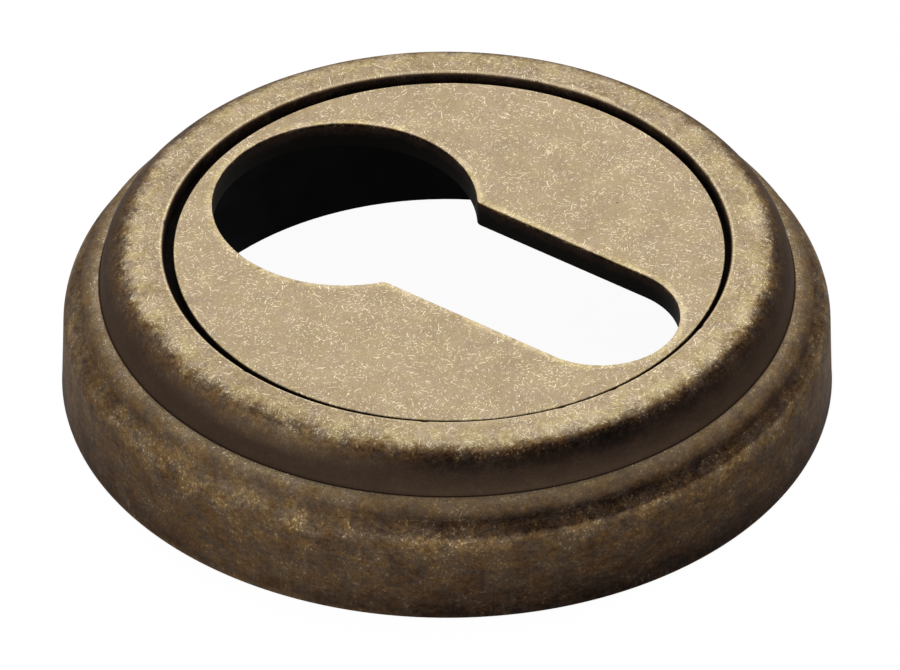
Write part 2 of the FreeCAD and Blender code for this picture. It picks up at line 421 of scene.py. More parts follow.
def pull_flange(mesh):
    """Widens the lower band of the rim to the flange, which keeps to the axis."""
    everything = mesh.verts[:] + mesh.edges[:] + mesh.faces[:]
    bmesh.ops.bisect_plane(mesh, geom=everything, plane_co=(0, 0, lip_underside), plane_no=(0, 0, 1))
    band = [
        face
        for face in mesh.faces
        if abs(face.normal.z) < UPRIGHT
        and off_rim(face.calc_center_median()) < FACE_EDGE
        and face.calc_center_median().z < lip_underside
    ]
    made = bmesh.ops.extrude_face_region(mesh, geom=band)
    outer = [item for item in made["geom"] if isinstance(item, bmesh.types.BMVert)]
    share = flange_radius / face_radius
    bmesh.ops.translate(mesh, verts=outer, vec=(0, FACE_SHIFT, 0))
    bmesh.ops.scale(mesh, verts=outer, vec=(share, share, 1))
    bmesh.ops.recalc_face_normals(mesh, faces=mesh.faces)


plate_from(disc_mesh)
pull_flange(disc_mesh)
print("disc:", len(disc_mesh.verts), "vertices,", len(disc_mesh.faces), "faces")

# %% [markdown]
# No cast edge is sharp. The two upright corners of the keyhole get a small round first, then the front
# edges: a wide one round the keyhole, which catches the light as a gold line, and a narrow one round the
# rim. A last thin inset keeps the big flat faces truly flat in their shading.

# %% Round the edges
CORNER_STEPS = 4
KEYHOLE_STEPS = 6
RIM_STEPS = 3
FLAT_INSET = 0.04 * MM
FLAT_UP = 0.999
BIG_FACE = (2 * MM) ** 2


def edges_where(mesh, wanted):
    """Edges whose two ends both pass a test of their place."""
    return [edge for edge in mesh.edges if all(wanted(vertex.co) for vertex in edge.verts)]


def round_edges(mesh, edges, width, segments):
    bmesh.ops.bevel(
        mesh,
        geom=edges,
        offset=width,
        offset_type="OFFSET",
        affect="EDGES",
        segments=segments,
        profile=0.5,
        material=-1,
        clamp_overlap=True,
    )


def at_front(place):
    return abs(place.z - face_height) < NEAR


def on_rim(place):
    return at_front(place) and off_rim(place) < NEAR


def at_corner(place):
    return abs(abs(place.x) - KEY_SLOT) < NEAR and abs(place.y - junction) < NEAR


def soften_disc(mesh):
    corners = edges_where(mesh, at_corner)
    round_edges(mesh, corners, KEY_CORNER, CORNER_STEPS)
    rim = edges_where(mesh, on_rim)
    keyhole = [
        edge
        for edge in edges_where(mesh, at_front)
        if edge not in rim and any(abs(face.normal.z) < UPRIGHT for face in edge.link_faces)
    ]
    round_edges(mesh, keyhole, KEY_EDGE, KEYHOLE_STEPS)
    round_edges(mesh, edges_where(mesh, on_rim), FACE_EDGE, RIM_STEPS)
    front = [face for face in mesh.faces if face.normal.z > FLAT_UP and face.calc_area() > BIG_FACE]
    bmesh.ops.inset_region(mesh, faces=front, thickness=FLAT_INSET, use_even_offset=True)
    print("rounded:", len(corners), "corners,", len(keyhole), "keyhole edges,", len(rim), "rim edges")


soften_disc(disc_mesh)

# %% [markdown]
# A bmesh becomes a piece of the scene when it is written to a mesh and put on an object. Every face is
# shaded smooth, and edges that turn by more than 40 degrees are marked sharp, so that corners such as
# the crease stay crisp while arcs look round. Each piece stands for its node, which is hidden, and rides
# on the only body.

# %% Make the pieces
SHARP_TURN = radians(40)


def piece(name, mesh, node):
    data = bpy.data.meshes.new(name)
    mesh.to_mesh(data)
    mesh.free()
    data.shade_smooth()
    data.set_sharp_from_angle(angle=SHARP_TURN)
    made = bpy.data.objects.new(name, data)
    bpy.context.scene.collection.objects.link(made)
    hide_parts(node)
    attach(made, "root")
    print(name, len(data.polygons), "faces")
    return made


moulded_ring = piece("moulded_ring", ring_mesh, "trim_ring")
keyhole_face = piece("keyhole_face", disc_mesh, "face_disc")

# %% [markdown]
# Materials are built from nodes. Four short helpers keep that readable: one adds a node, one joins an
# output to an input or writes a plain value there, one does sums, and one opens a node group with
# its inputs and outputs.

# %% Helpers for nodes


def add(tree, kind, **settings):
    made = tree.nodes.new(kind)
    for name, value in settings.items():
        setattr(made, name, value)
    return made


def feed(tree, socket, value):
    """Joins an output to a socket, or writes a plain value on it."""
    if isinstance(value, bpy.types.NodeSocket):
        tree.links.new(value, socket)
    else:
        socket.default_value = value


def calc(tree, operation, *values, clamp=False):
    made = add(tree, "ShaderNodeMath", operation=operation, use_clamp=clamp)
    for socket, value in zip(made.inputs, values):
        feed(tree, socket, value)
    return made.outputs[0]


def spread(tree, value, low, high, to_low=0.0, to_high=1.0, smooth=True):
    """Maps low..high to to_low..to_high, held at both ends."""
    made = add(tree, "ShaderNodeMapRange", clamp=True)
    made.interpolation_type = "SMOOTHSTEP" if smooth else "LINEAR"
    for name, number in (("From Min", low), ("From Max", high), ("To Min", to_low), ("To Max", to_high)):
        feed(tree, made.inputs[name], number)
    feed(tree, made.inputs["Value"], value)
    return made.outputs["Result"]


def new_group(name, inputs, outputs):
    """A shader node group with named sockets. Returns the tree and its two end nodes."""
    tree = bpy.data.node_groups.new(name, "ShaderNodeTree")
    for label, kind, default in inputs:
        socket = tree.interface.new_socket(label, in_out="INPUT", socket_type=kind)
        if default is not None:
            socket.default_value = default
    for label, kind in outputs:
        tree.interface.new_socket(label, in_out="OUTPUT", socket_type=kind)
    return tree, add(tree, "NodeGroupInput"), add(tree, "NodeGroupOutput")


def use_group(tree, group, **values):
    """Places a group and feeds its inputs by name. A space in a name is written as _."""
    made = add(tree, "ShaderNodeGroup", node_tree=group)
    for name, value in values.items():
        feed(tree, made.inputs[name.replace("_", " ")], value)
    return made.outputs


VALUE = "NodeSocketFloat"
VECTOR = "NodeSocketVector"
print("node helpers: add, feed, calc, spread, new_group and use_group")

# %% [markdown]
# Millimetres are the natural unit for a finish this fine, so a first group turns object coordinates into
# millimetres. It also unrolls them: the way round the ring and the way down its moulding become the
# two directions of a flat strip, on which scratches can lie at any angle without being stretched. A third
# output bends that strip into a narrow tube. Noise read there has no seam and is drawn out round the ring,
# which is the way that a cloth leaves streaks.

# %% Millimetres and the unrolled ring
STREAK_LENGTH = 3.5  # times a streak's width


def unrolled_group():
    outputs = [("Flat", VECTOR), ("Unrolled", VECTOR), ("Streaked", VECTOR)]
    tree, start, end = new_group("millimetres and unrolled", [("Seam", VALUE, 0.0)], outputs)
    place = add(tree, "ShaderNodeTexCoord").outputs["Object"]
    scale = add(tree, "ShaderNodeVectorMath", operation="SCALE")
    feed(tree, scale.inputs[0], place)
    feed(tree, scale.inputs["Scale"], 1 / MM)
    turned = add(tree, "ShaderNodeVectorRotate", rotation_type="Z_AXIS")
    feed(tree, turned.inputs["Vector"], scale.outputs[0])
    feed(tree, turned.inputs["Angle"], start.outputs["Seam"])
    apart = add(tree, "ShaderNodeSeparateXYZ")
    feed(tree, apart.inputs[0], turned.outputs[0])
    x, y, z = apart.outputs
    way_out = calc(tree, "SQRT", calc(tree, "ADD", calc(tree, "MULTIPLY", x, x), calc(tree, "MULTIPLY", y, y)))
    way_round = calc(tree, "MULTIPLY", calc(tree, "ARCTAN2", y, x), crease_radius / MM)
    strip = add(tree, "ShaderNodeCombineXYZ")
    feed(tree, strip.inputs[0], way_round)
    way_down = calc(tree, "SUBTRACT", way_out, z)
    feed(tree, strip.inputs[1], way_down)
    feed(tree, end.inputs["Flat"], scale.outputs[0])
    feed(tree, end.inputs["Unrolled"], strip.outputs[0])
    tube_radius = crease_radius / MM / STREAK_LENGTH
    tube = add(tree, "ShaderNodeCombineXYZ")
    for socket, side in zip(tube.inputs, (x, y)):
        feed(tree, socket, calc(tree, "MULTIPLY", calc(tree, "DIVIDE", side, way_out), tube_radius))
    feed(tree, tube.inputs[2], way_down)
    feed(tree, end.inputs["Streaked"], tube.outputs[0])
    return tree


unrolled = unrolled_group()
print("group:", unrolled.name)

# %% [markdown]
# The rubbing leaves hair scratches: short, crisp, pale strokes less than a tenth of a millimetre wide. A cell
# texture can draw them. It gives each point the middle of its cell and a random colour, and from the colour
# come a length, an angle and whether this cell has a scratch at all. Slow noise, read at the cell's middle so
# that it is one number for the whole stroke, turns neighbours much the same way and gathers them in
# drifts. Several sizes of cell laid over each other hide the grid.

# %% Hair scratches
DRIFT_SIZE = 2.5  # millimetres
DRIFT_TURN = 14.0  # radians over the range of the slow noise
OWN_TURN = 1.6  # radians of one stroke against its drift
SHORTEST, LENGTH_RANGE = 0.24, 0.28  # half lengths in cells
TAPER_FROM = 0.6  # of the half length
DRIFT_BEGINS, DRIFT_IS_FULL = 0.43, 0.58  # values of the slow noise
BETWEEN_DRIFTS = 0.1
FAINTEST, DEPTH_RANGE = 0.4, 0.65
SECOND_DRAW = 37.0  # makes a second random number of the first


def scratch_group():
    inputs = [
        ("Vector", VECTOR, None),
        ("Cell", VALUE, 1.0),
        ("Width", VALUE, 0.07),
        ("Share", VALUE, 0.5),
        ("Amount", VALUE, 1.0),
    ]
    tree, start, end = new_group("hair scratches", inputs, [("Scratch", VALUE)])
    cells = add(tree, "ShaderNodeTexVoronoi", voronoi_dimensions="2D", feature="F1")
    feed(tree, cells.inputs["Vector"], start.outputs["Vector"])
    feed(tree, cells.inputs["Scale"], calc(tree, "DIVIDE", 1.0, start.outputs["Cell"]))
    middle = cells.outputs["Position"]
    away = add(tree, "ShaderNodeVectorMath", operation="SUBTRACT")
    feed(tree, away.inputs[0], start.outputs["Vector"])
    feed(tree, away.inputs[1], middle)
    chance = add(tree, "ShaderNodeSeparateColor")
    feed(tree, chance.inputs[0], cells.outputs["Color"])
    drift = add(tree, "ShaderNodeTexNoise", noise_dimensions="2D")
    feed(tree, drift.inputs["Vector"], middle)
    drift.inputs["Scale"].default_value = 1 / DRIFT_SIZE
    drift.inputs["Detail"].default_value = 3.0
    sweep_way = calc(tree, "MULTIPLY", drift.outputs[0], DRIFT_TURN)
    turned = add(tree, "ShaderNodeVectorRotate", rotation_type="Z_AXIS")
    feed(tree, turned.inputs["Vector"], away.outputs[0])
    feed(tree, turned.inputs["Angle"], calc(tree, "MULTIPLY_ADD", chance.outputs[0], OWN_TURN, sweep_way))
    apart = add(tree, "ShaderNodeSeparateXYZ")
    feed(tree, apart.inputs[0], turned.outputs[0])
    off_line = calc(tree, "ABSOLUTE", apart.outputs[1])
    half_width = calc(tree, "MULTIPLY", start.outputs["Width"], 0.5)
    line = spread(tree, off_line, calc(tree, "MULTIPLY", half_width, 0.5), half_width, 1.0, 0.0)
    stretch = calc(tree, "MULTIPLY_ADD", chance.outputs[2], LENGTH_RANGE, SHORTEST)
    length = calc(tree, "MULTIPLY", start.outputs["Cell"], stretch)
    tip = calc(tree, "MULTIPLY", length, TAPER_FROM)
    taper = spread(tree, calc(tree, "ABSOLUTE", apart.outputs[0]), tip, length, 1.0, 0.0)
    gathered = spread(tree, drift.outputs[0], DRIFT_BEGINS, DRIFT_IS_FULL, BETWEEN_DRIFTS, 1.0)
    share = calc(tree, "MULTIPLY", start.outputs["Share"], start.outputs["Amount"])
    present = calc(tree, "LESS_THAN", chance.outputs[1], calc(tree, "MULTIPLY", share, gathered))
    second_chance = calc(tree, "FRACT", calc(tree, "MULTIPLY", chance.outputs[1], SECOND_DRAW))
    depth = calc(tree, "MULTIPLY_ADD", second_chance, DEPTH_RANGE, FAINTEST)
    drawn = calc(tree, "MULTIPLY", calc(tree, "MULTIPLY", line, taper), calc(tree, "MULTIPLY", present, depth))
    feed(tree, end.inputs["Scratch"], drawn)
    return tree


hair_scratches = scratch_group()
print("group:", hair_scratches.name)

# %% [markdown]
# One size of cell shows its grid, because a cell holds one stroke at most. Five sizes, from a fifth of a
# millimetre to a whole one, are moved and turned against each other, and the brightest one counts at each
# point.

# %% Drifts of scratches
SCRATCH_LAYERS = (  # the cell's size, the stroke's width and the share of cells with a stroke
    (0.2, 0.06, 0.42),
    (0.29, 0.062, 0.5),
    (0.42, 0.066, 0.55),
    (0.65, 0.07, 0.5),
    (1.0, 0.066, 0.3),
)


def drift_group():
    """Several sizes of scratch laid over each other, each moved and turned."""
    inputs = [("Vector", VECTOR, None), ("Amount", VALUE, 1.0)]
    tree, start, end = new_group("scratch drifts", inputs, [("Scratches", VALUE)])
    total = None
    for index, (cell, width, share) in enumerate(SCRATCH_LAYERS):
        moved = add(tree, "ShaderNodeMapping")
        feed(tree, moved.inputs["Vector"], start.outputs["Vector"])
        moved.inputs["Location"].default_value = (3.7 * index, 5.1 * index, 0)
        moved.inputs["Rotation"].default_value = (0, 0, 0.7 * index)
        feeds = {"Vector": moved.outputs[0], "Amount": start.outputs["Amount"]}
        layer = use_group(tree, hair_scratches, Cell=cell, Width=width, Share=share, **feeds)["Scratch"]
        total = layer if total is None else calc(tree, "MAXIMUM", total, layer)
    feed(tree, end.inputs["Scratches"], total)
    return tree


scratch_drifts = drift_group()
print("group:", scratch_drifts.name, "with", len(SCRATCH_LAYERS), "sizes")

# %% [markdown]
# Patina does not end at a clean line. Cloudy noise at two sizes shifts the rubbed value up and down, so
# that islands of dark stay on the bright side and the film thins in patches on the dark side. The noise
# is flattened in height, and a third noise is drawn out in streaks, because a hand rubs round the ring.
# The same group gives a fine grain for tone, roughness and relief, bright specks where the film is pricked
# through, a slow warmth that lets brown show here and grey there, and rare small pits from the casting.

# %% Patina break-up
GRAIN_ON_PATINA = 0.12
GRAIN_ON_METAL = 0.58
FLATTENING = 1.4
WIDE_SIZE, WIDE_WEIGHT = 2.2, 1.3
FLECK_SIZE, FLECK_WEIGHT = 0.4, 1.6
STREAK_SIZE, STREAK_WEIGHT = 0.4, 0.25
SPECK_SIZE, SPECK_WEIGHT = 0.2, 0.28
GRAIN_SIZE = 0.1
WARMTH_SIZE = 1.2
PIT_CELLS = 0.6  # to the millimetre
PIT_FLOOR, PIT_RIM = 0.02, 0.055
PIT_SHARE = 0.3


def cloud(tree, vector, size, detail, roughness=0.6):
    """Noise whose cloudlets measure about size in millimetres."""
    made = add(tree, "ShaderNodeTexNoise")
    feed(tree, made.inputs["Vector"], vector)
    made.inputs["Scale"].default_value = 1 / size
    made.inputs["Detail"].default_value = detail
    made.inputs["Roughness"].default_value = roughness
    return made.outputs[0]


def pits(tree, vector):
    """Small dark holes, in some of the cells of a coarse cell texture."""
    dots = add(tree, "ShaderNodeTexVoronoi", feature="F1")
    feed(tree, dots.inputs["Vector"], vector)
    dots.inputs["Scale"].default_value = PIT_CELLS
    chance = add(tree, "ShaderNodeSeparateColor")
    feed(tree, chance.inputs[0], dots.outputs["Color"])
    small = spread(tree, dots.outputs["Distance"], PIT_FLOOR, PIT_RIM, 1.0, 0.0)
    return calc(tree, "MULTIPLY", small, calc(tree, "LESS_THAN", chance.outputs[0], PIT_SHARE))


def patina_group():
    inputs = [("Vector", VECTOR, None), ("Streaks", VECTOR, None)]
    inputs += [("Rubbed", VALUE, 0.5), ("Broken", VALUE, 0.3)]
    outputs = [("Rubbed", VALUE), ("Grain", VALUE), ("Specks", VALUE), ("Warmth", VALUE), ("Pits", VALUE)]
    tree, start, end = new_group("patina break-up", inputs, outputs)
    place, broken = start.outputs["Vector"], start.outputs["Broken"]
    flattened = add(tree, "ShaderNodeMapping")
    feed(tree, flattened.inputs["Vector"], place)
    flattened.inputs["Scale"].default_value = (1, 1, FLATTENING)
    flat = flattened.outputs[0]
    wide = calc(tree, "SUBTRACT", cloud(tree, flat, WIDE_SIZE, 4, 0.7), 0.5)
    flecks = calc(tree, "SUBTRACT", cloud(tree, flat, FLECK_SIZE, 5, 0.8), 0.5)
    streaks = calc(tree, "SUBTRACT", cloud(tree, start.outputs["Streaks"], STREAK_SIZE, 3), 0.5)
    blotches = calc(tree, "MULTIPLY", wide, WIDE_WEIGHT)
    shift = calc(tree, "ADD", blotches, calc(tree, "MULTIPLY", flecks, FLECK_WEIGHT))
    shift = calc(tree, "MULTIPLY_ADD", streaks, STREAK_WEIGHT, shift)
    gathered = spread(tree, wide, -0.06, 0.1, 0.2, 1.0)
    pricked = spread(tree, cloud(tree, place, SPECK_SIZE, 3, 0.7), 0.56, 0.66)
    specks = calc(tree, "MULTIPLY", pricked, gathered)
    shift = calc(tree, "MULTIPLY_ADD", specks, SPECK_WEIGHT, shift)
    shifted = calc(tree, "MULTIPLY_ADD", shift, broken, start.outputs["Rubbed"])
    grain = cloud(tree, place, GRAIN_SIZE, 2)
    grain_depth = spread(tree, start.outputs["Rubbed"], 0.3, 0.75, GRAIN_ON_PATINA, GRAIN_ON_METAL)
    grained = calc(tree, "MULTIPLY_ADD", calc(tree, "SUBTRACT", grain, 0.5), grain_depth, shifted)
    feed(tree, end.inputs["Rubbed"], calc(tree, "MAXIMUM", grained, 0.0))
    feed(tree, end.inputs["Grain"], grain)
    feed(tree, end.inputs["Specks"], specks)
    brown = spread(tree, cloud(tree, flat, WARMTH_SIZE, 5, 0.7), 0.42, 0.58, 0.1, 1.0)
    feed(tree, end.inputs["Warmth"], calc(tree, "MULTIPLY", brown, spread(tree, broken, 0.0, 0.4, 0.2, 1.0)))
    feed(tree, end.inputs["Pits"], pits(tree, place))
    return tree


patina_break = patina_group()
print("group:", patina_break.name)

# %% [markdown]
# The metal itself is one recipe for both pieces. The broken rubbed value, with the painted light and shade
# that it carries, runs through two colour ramps from near-black patina to pale metal: a satin one in greys
# and beiges for smooth places, and a golden one in browns for broken places. Rubbed places are metal, and
# patina is a dull film, so metallic follows the same value. Scratches and specks brighten the colour and cut
# a little relief. Colours are written as they look, in the usual 0 to 255, and turned to linear light here.

# %% Aged bronze


def shade(red, green, blue):
    """A colour as the screen shows it, turned to linear light."""
    linear = [((c / 255 + 0.055) / 1.055) ** 2.4 if c > 10 else c / 255 / 12.92 for c in (red, green, blue)]
    return (*linear, 1.0)


TONE_PLACES = (0.0, 0.12, 0.25, 0.4, 0.55, 0.75, 0.9, 1.0)
SATIN_TONES = (
    shade(9, 8, 7),
    shade(44, 34, 29),
    shade(73, 59, 49),
    shade(101, 84, 68),
    shade(128, 110, 89),
    shade(178, 158, 132),
    shade(199, 179, 149),
    shade(214, 196, 163),
)
GOLDEN_TONES = (
    shade(9, 7, 5),
    shade(42, 29, 20),
    shade(80, 58, 39),
    shade(115, 88, 58),
    shade(146, 119, 80),
    shade(180, 161, 120),
    shade(205, 187, 143),
    shade(224, 204, 162),
)
SCRATCH_GOLD = shade(255, 243, 210)
SPECK_GOLD = shade(214, 188, 140)
PIT_BROWN = shade(40, 28, 18)
MOST_METALLIC = 0.45
DULL_PATINA, DULL_METAL = 0.68, 0.5
ROUGH_GRAIN = 0.25
BRONZE_SPECULAR = 0.05
BRONZE_TINT = (0.45, 0.36, 0.25, 1)
SCRATCH_CUT = -0.6
RELIEF_STRENGTH = 0.35
RELIEF_DEPTH = 0.02 * MM


def tone_ramp(tree, value, tones):
    made = add(tree, "ShaderNodeValToRGB")
    ramp = made.color_ramp
    while len(ramp.elements) < len(tones):
        ramp.elements.new(0.5)
    for element, place, colour in zip(ramp.elements, TONE_PLACES, tones):
        element.position = place
        element.color = colour
    feed(tree, made.inputs[0], value)
    return made.outputs["Color"]


def mix_colour(tree, share, first, second):
    made = add(tree, "ShaderNodeMix", data_type="RGBA", blend_type="MIX")
    feed(tree, made.inputs["Factor"], share)
    feed(tree, made.inputs[6], first)
    feed(tree, made.inputs[7], second)
    return made.outputs[2]


def bronze(name, wear_and_shade_of, scratch_place, streak_place):
    """Aged bronze. The first function gives the rubbed value, with its painted light and shade, and how broken
    the patina is. The two places name unrolled outputs.
    """
    material = bpy.data.materials.new(name)
    material.use_nodes = True
    tree = material.node_tree
    shader = tree.nodes["Principled BSDF"]
    places = use_group(tree, unrolled, Seam=radians(-20))
    rubbed_and_shaded, broken = wear_and_shade_of(tree, places)
    lie = {"Vector": places["Flat"], "Streaks": places[streak_place]}
    film = use_group(tree, patina_break, Rubbed=rubbed_and_shaded, Broken=broken, **lie)
    value = film["Rubbed"]
    bare = spread(tree, value, 0.2, 0.7, 0.0, 1.0)
    open_metal = spread(tree, calc(tree, "MULTIPLY_ADD", broken, 0.15, value), 0.58, 0.8, 0.0, 1.0)
    amount = calc(tree, "MULTIPLY", open_metal, spread(tree, rubbed_and_shaded, 0.35, 0.6))
    scratches = use_group(tree, scratch_drifts, Vector=places[scratch_place], Amount=amount)["Scratches"]
    satin, golden = tone_ramp(tree, value, SATIN_TONES), tone_ramp(tree, value, GOLDEN_TONES)
    colour = mix_colour(tree, film["Warmth"], satin, golden)
    prick_depth = calc(tree, "MULTIPLY_ADD", bare, 0.22, spread(tree, broken, 0.15, 0.5, 0.0, 0.28))
    pricks = calc(tree, "MULTIPLY", film["Specks"], prick_depth)
    colour = mix_colour(tree, pricks, colour, SPECK_GOLD)
    colour = mix_colour(tree, calc(tree, "MINIMUM", scratches, 1.0), colour, SCRATCH_GOLD)
    colour = mix_colour(tree, film["Pits"], colour, PIT_BROWN)
    feed(tree, shader.inputs["Base Color"], colour)
    feed(tree, shader.inputs["Metallic"], spread(tree, value, 0.35, 0.8, 0.0, MOST_METALLIC))
    shader.inputs["Specular IOR Level"].default_value = BRONZE_SPECULAR
    shader.inputs["Specular Tint"].default_value = BRONZE_TINT
    dull = spread(tree, value, 0.1, 0.8, DULL_PATINA, DULL_METAL)
    grained = calc(tree, "MULTIPLY_ADD", calc(tree, "SUBTRACT", film["Grain"], 0.5), ROUGH_GRAIN, dull)
    feed(tree, shader.inputs["Roughness"], grained)
    relief = calc(tree, "MULTIPLY_ADD", scratches, SCRATCH_CUT, calc(tree, "MULTIPLY", film["Grain"], bare))
    bump = add(tree, "ShaderNodeBump")
    bump.inputs["Strength"].default_value = RELIEF_STRENGTH
    bump.inputs["Distance"].default_value = RELIEF_DEPTH
    feed(tree, bump.inputs["Height"], calc(tree, "SUBTRACT", relief, film["Pits"]))
    feed(tree, shader.inputs["Normal"], bump.outputs[0])
    return material


print("tones:", len(SATIN_TONES), "satin,", len(GOLDEN_TONES), "golden")

# %% [markdown]
# The ring reads both values from its vertices. The disc has hardly any vertices in its flat front, so
# its value is worked out from the distance to the keyhole's outline: a circle and a slot, each a plain
# distance, of which the nearer one counts. Just outside the rounded edge the face is rubbed to gold, and
# down the rounding the patina returns as brown. Below that the walls of the keyhole and of the rim go nearly
# black, partly as patina and partly as painted shade, and deeper down a painted shade darkens them further.

# %% Where each piece is rubbed, and where shade is painted
FACE_RUBBED = 0.75
FACE_BROKEN = 0.15
EDGE_BROKEN = 0.65
EDGE_GOLD = 0.12
BROWN_DROP = 0.38
# The next two darken the walls of the keyhole and rim: the first is patina and painted shade, the second
# painted shade that grows with depth.
BLACK_PATINA_AND_SHADE_DROP = 0.4
DEEP_SHADE_DROP = 0.12
# The patina and the painted shade start this much lower on the rim than in the keyhole.
RIM_WEAR = 0.03  # millimetres by which the patina starts lower on the rim than in the keyhole


def ring_wear_and_shade(tree, places):
    stored = [add(tree, "ShaderNodeAttribute", attribute_name=name) for name in ("rubbed_and_shaded", "broken")]
    return [node.outputs["Fac"] for node in stored]


def keyhole_distance(tree, x, y):
    """Millimetres from the keyhole's wall, and below zero inside it."""
    from_round = calc(tree, "SUBTRACT", y, round_centre / MM)
    square = calc(tree, "ADD", calc(tree, "MULTIPLY", x, x), calc(tree, "MULTIPLY", from_round, from_round))
    to_round = calc(tree, "SUBTRACT", calc(tree, "SQRT", square), KEY_ROUND / MM)
    beyond_end = calc(tree, "MINIMUM", calc(tree, "SUBTRACT", y, end_centre / MM), 0.0)
    beyond_top = calc(tree, "MAXIMUM", from_round, 0.0)
    beyond = calc(tree, "ADD", beyond_end, beyond_top)
    square = calc(tree, "ADD", calc(tree, "MULTIPLY", x, x), calc(tree, "MULTIPLY", beyond, beyond))
    to_slot = calc(tree, "SUBTRACT", calc(tree, "SQRT", square), KEY_SLOT / MM)
    return calc(tree, "MINIMUM", to_round, to_slot)


def face_wear_and_shade(tree, places):
    apart = add(tree, "ShaderNodeSeparateXYZ")
    feed(tree, apart.inputs[0], places["Flat"])
    x, y, z = apart.outputs
    away = keyhole_distance(tree, x, y)
    shifted = calc(tree, "ADD", y, FACE_SHIFT / MM)
    square = calc(tree, "ADD", calc(tree, "MULTIPLY", x, x), calc(tree, "MULTIPLY", shifted, shifted))
    way_out = calc(tree, "SQRT", square)
    from_rim = calc(tree, "SUBTRACT", face_radius / MM, way_out)
    near_edge = calc(tree, "MINIMUM", away, calc(tree, "ADD", from_rim, KEY_EDGE / MM))
    gold = spread(tree, near_edge, 0.22, 0.55, EDGE_GOLD, 0.0)
    front = calc(tree, "ADD", FACE_RUBBED, gold)
    depth = calc(tree, "SUBTRACT", face_height / MM, z)
    at_rim = spread(tree, away, KEY_EDGE / MM, 2 * KEY_EDGE / MM, 0.0, RIM_WEAR)
    worn_down = calc(tree, "SUBTRACT", depth, at_rim)
    brown = spread(tree, worn_down, 0.0, 0.03, 0.0, BROWN_DROP)
    # Painted shade: nearly black down the walls, partly patina, and darker still with depth.
    black_patina_and_shade = spread(tree, worn_down, 0.02, 0.14, 0.0, BLACK_PATINA_AND_SHADE_DROP)
    deep_shade = spread(tree, depth, 0.2, 1.3, 0.0, DEEP_SHADE_DROP)
    value = calc(tree, "SUBTRACT", front, calc(tree, "ADD", calc(tree, "ADD", brown, black_patina_and_shade), deep_shade))
    broken = spread(tree, near_edge, 0.15, 0.6, EDGE_BROKEN, FACE_BROKEN)
    smooth = spread(tree, depth, 0.1, 0.35, 1.0, 0.2)
    return value, calc(tree, "MULTIPLY", broken, smooth)


ring_bronze = bronze("ring_bronze", ring_wear_and_shade, "Unrolled", "Streaked")
face_bronze = bronze("face_bronze", face_wear_and_shade, "Flat", "Flat")
moulded_ring.data.materials.append(ring_bronze)
keyhole_face.data.materials.append(face_bronze)
print("materials:", ring_bronze.name, face_bronze.name)

# %% [markdown]
# The base is a black moulding that is seen only through the keyhole and from behind. The CAD node has
# the right shape and stays. Its plastic has a fine spark-eroded grain in roughness and relief, and a
# faint cloudiness in its black, as nylon has.

# %% Black nylon
NYLON_DARK = shade(10, 11, 12)
NYLON_LIGHT = shade(17, 17, 16)
NYLON_CLOUDS = 4.0
NYLON_GRAIN = 0.12
NYLON_SPECULAR = 0.02
SPARK_STRENGTH = 0.4
SPARK_DEPTH = 0.015 * MM


def nylon():
    material = bpy.data.materials.new("black_nylon")
    material.use_nodes = True
    tree = material.node_tree
    shader = tree.nodes["Principled BSDF"]
    place = use_group(tree, unrolled)["Flat"]
    clouds = cloud(tree, place, NYLON_CLOUDS, 4)
    grain = cloud(tree, place, NYLON_GRAIN, 2)
    feed(tree, shader.inputs["Base Color"], mix_colour(tree, clouds, NYLON_DARK, NYLON_LIGHT))
    feed(tree, shader.inputs["Roughness"], spread(tree, clouds, 0.3, 0.7, 0.62, 0.75))
    shader.inputs["Specular IOR Level"].default_value = NYLON_SPECULAR
    bump = add(tree, "ShaderNodeBump")
    bump.inputs["Strength"].default_value = SPARK_STRENGTH
    bump.inputs["Distance"].default_value = SPARK_DEPTH
    feed(tree, bump.inputs["Height"], grain)
    feed(tree, shader.inputs["Normal"], bump.outputs[0])
    return material


base_nylon = nylon()
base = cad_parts["mounting_base"]
base.data.materials.clear()
base.data.materials.append(base_nylon)
print("base:", base.name, "in", base_nylon.name)

# %% [markdown]
# The floor is a plain white table. The camera and every reflection see it close to full white, and it keeps
# a soft shadow, because only part of it glows: the rest is a plain white that needs light. Bounced light
# does not see the glow, so the object is lit by the lamps and the room alone.

# %% Floor and room
FLOOR_GLOW = 0.95
ROOM_LEVEL = 0.31
TABLE_WHITE = (0.12, 0.12, 0.12, 1)  # the part that needs light
TABLE_RADIUS = 3.0
TABLE_DROP = 0.02 * MM  # keeps the table clear of the ring's foot
WHITE = (1, 1, 1, 1)


def seen_directly(tree):
    """1 for camera, mirror and see-through rays, and 0 for bounced light."""
    path = add(tree, "ShaderNodeLightPath")
    seen = calc(tree, "ADD", path.outputs["Is Camera Ray"], path.outputs["Is Glossy Ray"])
    return calc(tree, "ADD", seen, path.outputs["Is Transmission Ray"], clamp=True)


def white_table():
    material = bpy.data.materials.new("white_table")
    material.use_nodes = True
    tree = material.node_tree
    shader = tree.nodes["Principled BSDF"]
    shader.inputs["Base Color"].default_value = TABLE_WHITE
    shader.inputs["Roughness"].default_value = 0.9
    shader.inputs["Specular IOR Level"].default_value = 0.0
    shader.inputs["Emission Color"].default_value = WHITE
    feed(tree, shader.inputs["Emission Strength"], calc(tree, "MULTIPLY", seen_directly(tree), FLOOR_GLOW))
    return material


def floor():
    mesh = bmesh.new()
    bmesh.ops.create_circle(mesh, cap_ends=True, segments=96, radius=TABLE_RADIUS)
    data = bpy.data.meshes.new("table")
    mesh.to_mesh(data)
    mesh.free()
    made = bpy.data.objects.new("table", data)
    bpy.context.scene.collection.objects.link(made)
    made.location.z = -TABLE_DROP
    data.materials.append(white_table())
    return made


